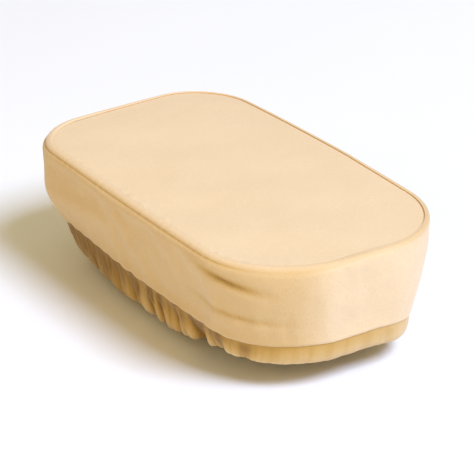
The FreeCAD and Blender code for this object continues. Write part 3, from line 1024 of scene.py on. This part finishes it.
GRIP_INSET = 20.0       # edge of the grip sheet
GRIP_TOP = 1.2
DOT_PITCH = 7.0
DOT_HEIGHT = 0.4
DOT_RADIUS = 1.3
DOT_SIDES = 12
DOT_MARGIN = 4.0        # from the edge of the sheet to the outermost dots
DOT_CORNER = 24.0       # rounding of the field of dots


def make_grip_sheet():
    """Woven non-slip sheet under the foam; its dots touch the armrest."""
    s = spaced_round(FILLING_AROUND)
    low, high = DOT_HEIGHT, GRIP_TOP
    section = [(FOAM_FLAT, high), (GRIP_INSET + 0.4, high), (GRIP_INSET + 0.1, high - 0.2),
               (GRIP_INSET, (low + high) / 2), (GRIP_INSET + 0.1, low + 0.15),
               (GRIP_INSET + 0.4, low), (FOAM_FLAT, low)]
    grid = np.stack([place(s, inset, height) for inset, height in section], axis=1)
    sheet = ring_object("grip_sheet_cloth", grid, GRIP, cap_first=True, cap_last=True)
    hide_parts("grip_sheet")
    make_grip_dots()


def dot_dome():
    """Points and faces of one low dome, open at the top where it meets the sheet."""
    ring, rise = np.meshgrid(np.linspace(0, TAU, DOT_SIDES, endpoint=False), [0.0, 0.55, 0.9],
                             indexing="ij")
    radius = DOT_RADIUS * np.sqrt(1 - rise ** 2)
    dome = np.stack([radius * np.cos(ring), radius * np.sin(ring), DOT_HEIGHT * (1 - rise)], axis=-1)
    points = np.vstack([dome.reshape(-1, 3), [0, 0, 0]])
    tip = len(points) - 1
    cap = [[i * 3 + 2, ((i + 1) % DOT_SIDES) * 3 + 2, tip] for i in range(DOT_SIDES)]
    return points, grid_faces(DOT_SIDES, 3) + cap


def make_grip_dots():
    """Staggered rows of low silicone domes on the underside of the grip sheet."""
    dome, dome_faces = dot_dome()
    half_width = HALF_WIDTH - GRIP_INSET - DOT_MARGIN
    half_length = HALF_LENGTH - GRIP_INSET - DOT_MARGIN
    points, faces = [], []
    for row, y in enumerate(np.arange(-half_length, half_length + 0.1, DOT_PITCH * 0.87)):
        for x in np.arange(-half_width + (row % 2) * DOT_PITCH / 2, half_width + 0.1, DOT_PITCH):
            past_corner = math.hypot(max(abs(x) - half_width + DOT_CORNER, 0),
                                     max(abs(y) - half_length + DOT_CORNER, 0))
            if past_corner > DOT_CORNER:
                continue
            base = len(points) * len(dome)
            points.append(dome + (x, y, 0))
            faces += [[i + base for i in face] for face in dome_faces]
    return mesh_object("grip_dots", np.vstack(points), faces, DOTS)


# ---- stitches

THREAD_RADIUS = 0.25
TOP_SEAM_H = 0.9        # how far down the band the top seam is sewn
TOP_SEAM_DEPTH = 1.2    # the top seam is sewn inside out, so its stitches lie under the cloth
STITCH_RINGS, STITCH_SIDES = 7, 6
STITCH_REACH = 0.41     # half a stitch's length, as a share of the distance between stitches


def stitch_faces(count):
    """Faces of a number of separate closed tubes, one for each stitch."""
    sides, faces = STITCH_SIDES, []
    for stitch in range(count):
        base = stitch * STITCH_RINGS * sides
        last = base + (STITCH_RINGS - 1) * sides
        for ring in range(base, last, sides):
            for k in range(sides):
                a, b = ring + k, ring + (k + 1) % sides
                faces.append([a, b, b + sides, a + sides])
        faces.append([base + k for k in reversed(range(sides))])
        faces.append([last + k for k in range(sides)])
    return faces


def stitch_row(name, node, line, normals, pitch):
    """Separate stitches along a line of points: each rises out of the cloth and dips back in."""
    along = distance_along(line)
    count = int(along[-1] / pitch)
    length = along[-1] / count
    share = np.linspace(-STITCH_REACH, STITCH_REACH, STITCH_RINGS)
    where = (np.arange(count)[:, None] + 0.5 + share[None, :]) * length
    centre = read_rows(where, along, line)
    up = unit(read_rows(where, along, normals))
    side = np.cross(unit(np.gradient(centre, axis=1)), up)
    lift = 0.32 - 0.75 * (np.abs(share) / STITCH_REACH) ** 3
    centre = centre + up * (lift * THREAD_RADIUS * 2)[:, None]
    angle = np.linspace(0, TAU, STITCH_SIDES, endpoint=False)
    radius = THREAD_RADIUS * np.where(np.abs(share) > 0.4, 0.6, 1.0)
    tube = (centre[:, :, None] + up[:, :, None] * np.outer(radius, np.cos(angle))[..., None]
            + side[:, :, None] * np.outer(radius, np.sin(angle))[..., None])
    piece = mesh_object(name, tube.reshape(-1, 3), stitch_faces(count), THREAD)
    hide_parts(node)


def closed(line):
    return np.vstack([line, line[:1]])


def make_band_stitches(grid):
    """Rows sewn on the band: in the top seam, along the shoulder and down the rear joint."""
    steps = band_steps()
    normals = grid_normals(grid)
    seam = int(np.argmin(np.abs(steps - TOP_SEAM_H)))
    edge = int(np.argmin(np.abs(steps - STITCH_H)))
    inside = grid[:, seam] - normals[:, seam] * TOP_SEAM_DEPTH
    stitch_row("top_seam_stitches", "top_seam_thread", closed(inside), closed(normals[:, seam]),
               pitch=2.6)
    stitch_row("edge_topstitches", "edge_topstitch_thread", closed(grid[:, edge]),
               closed(normals[:, edge]), pitch=3.0)
    upright = (steps > STITCH_H + 2) & (steps < LIP_H)
    stitch_row("band_joint_stitches", "band_joint_thread", grid[0, upright],
               normals[0, upright], pitch=2.8)


TACK_SPACING = 3.0
TACK_REACH = 2.7        # half a bar tack's length, just past the elastic's edges


def make_tack_stitches():
    """Three bar tacks over the overlap of the elastic's ends, at the rear, sewn in one run."""
    corners = [(-1, -1), (-1, 1), (0, 1), (0, -1), (1, -1), (1, 1)]
    rear = np.zeros(1)
    _, foot_height = skirt_point(rear, 1.0)
    height = foot_height + CASING_HEIGHT / 2 + ELASTIC_THICKNESS / 2 + 0.05
    middle = place(rear, ELASTIC_INSET, height)[0]
    line = np.array([middle + (x * TACK_SPACING, y * TACK_REACH, 0) for x, y in corners])
    stitch_row("elastic_tack_stitches", "elastic_tack_thread", line,
               np.broadcast_to([0.0, 0.0, 1.0], line.shape), pitch=0.9)


def make_hidden_stitches():
    """Rows inside the skirt: through the turned-in edges at the lip and along the hem casing."""
    s = np.linspace(0, PERIMETER, 900)
    down = np.broadcast_to([0.0, 0.0, -1.0], (len(s), 3))
    lip = place(s, lip_inset(s) + 4.5, -lip_drop(s) - 2.2)
    stitch_row("lip_seam_stitches", "lip_seam_thread", lip, down, pitch=2.8)
    _, foot_height = skirt_point(s, 1.0)
    casing = place(s, CASING_START + 0.8, foot_height + CASING_HEIGHT + 0.15)
    stitch_row("casing_stitches", "casing_thread", casing, -down, pitch=3.2)


# ---- camera, light, floor

AIM = Vector((-0.0016, -0.00384, 0.010))
VIEW_AZIMUTH, VIEW_ELEVATION, VIEW_ROLL = -33.89, 25.69, -0.21
VIEW_DISTANCE = 1.6771
LENS, SENSOR = 240.0, 36.0
AMBIENT_COLOUR, AMBIENT_STRENGTH = (1.0, 0.85, 0.53, 1), 0.50
FLOOR_REACH = 3.0


def towards(azimuth, elevation):
    """Direction away from the pad; azimuth 0 is in front of it and 90 degrees on its +X side."""
    a, e = math.radians(azimuth), math.radians(elevation)
    return Vector((math.sin(a) * math.cos(e), -math.cos(a) * math.cos(e), math.sin(e)))


def make_camera():
    """The reference view's camera: level but for a slight roll, a long lens from the front left."""
    data = bpy.data.cameras.new("camera")
    data.lens = LENS
    data.sensor_width = SENSOR
    camera = bpy.data.objects.new("camera", data)
    back = towards(VIEW_AZIMUTH, VIEW_ELEVATION)
    azimuth = math.radians(VIEW_AZIMUTH)
    right = Vector((math.cos(azimuth), math.sin(azimuth), 0))
    level = Matrix((right, back.cross(right), back)).transposed()
    rolled = level @ Matrix.Rotation(math.radians(VIEW_ROLL), 3, "Z")
    camera.matrix_world = Matrix.Translation(AIM + back * VIEW_DISTANCE) @ rolled.to_4x4()
    bpy.context.scene.collection.objects.link(camera)
    bpy.context.scene.camera = camera


def add_area_light(name, azimuth, elevation, distance, size, power, colour):
    """A square lamp aimed at the pad."""
    data = bpy.data.lights.new(name, "AREA")
    data.shape = "SQUARE"
    data.size = size
    data.energy = power
    data.color = colour
    lamp = bpy.data.objects.new(name, data)
    back = towards(azimuth, elevation)
    lamp.location = AIM + back * distance
    lamp.rotation_mode = "QUATERNION"
    lamp.rotation_quaternion = back.to_track_quat("Z", "Y")
    bpy.context.scene.collection.objects.link(lamp)


def make_floor():
    """A large sheet of paper that the pad's lowest point stands on."""
    corners = [(-1, -1), (1, -1), (1, 1), (-1, 1)]
    mesh = bpy.data.meshes.new("floor")
    mesh.from_pydata([(x * FLOOR_REACH, y * FLOOR_REACH, 0) for x, y in corners], [], [(0, 1, 2, 3)])
    mesh.materials.append(floor_material())
    floor = bpy.data.objects.new("floor", mesh)
    bpy.context.scene.collection.objects.link(floor)
    floor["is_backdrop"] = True
    floor.location.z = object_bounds()[0].z


def make_lights():
    """A cool key from above the front, a weak warm fill from the left and warm surroundings."""
    world = bpy.data.worlds.new("studio")
    world.use_nodes = True
    background = world.node_tree.nodes["Background"]
    background.inputs["Color"].default_value = AMBIENT_COLOUR
    background.inputs["Strength"].default_value = AMBIENT_STRENGTH
    bpy.context.scene.world = world
    add_area_light("key", azimuth=14, elevation=52, distance=4.0, size=1.6, power=206,
                   colour=(0.65, 0.745, 1.0))
    add_area_light("fill", azimuth=-80, elevation=25, distance=2.0, size=1.2, power=8,
                   colour=(1.0, 0.80, 0.40))


# ---- build

make_camera()
make_top_panel()
BAND_GRID = make_side_band()
make_skirt()
make_hem_elastic()
make_foam()
make_grip_sheet()
make_band_stitches(BAND_GRID)
make_hidden_stitches()
make_tack_stitches()
make_floor()
make_lights()
bpy.context.scene.view_settings.view_transform = "Standard"
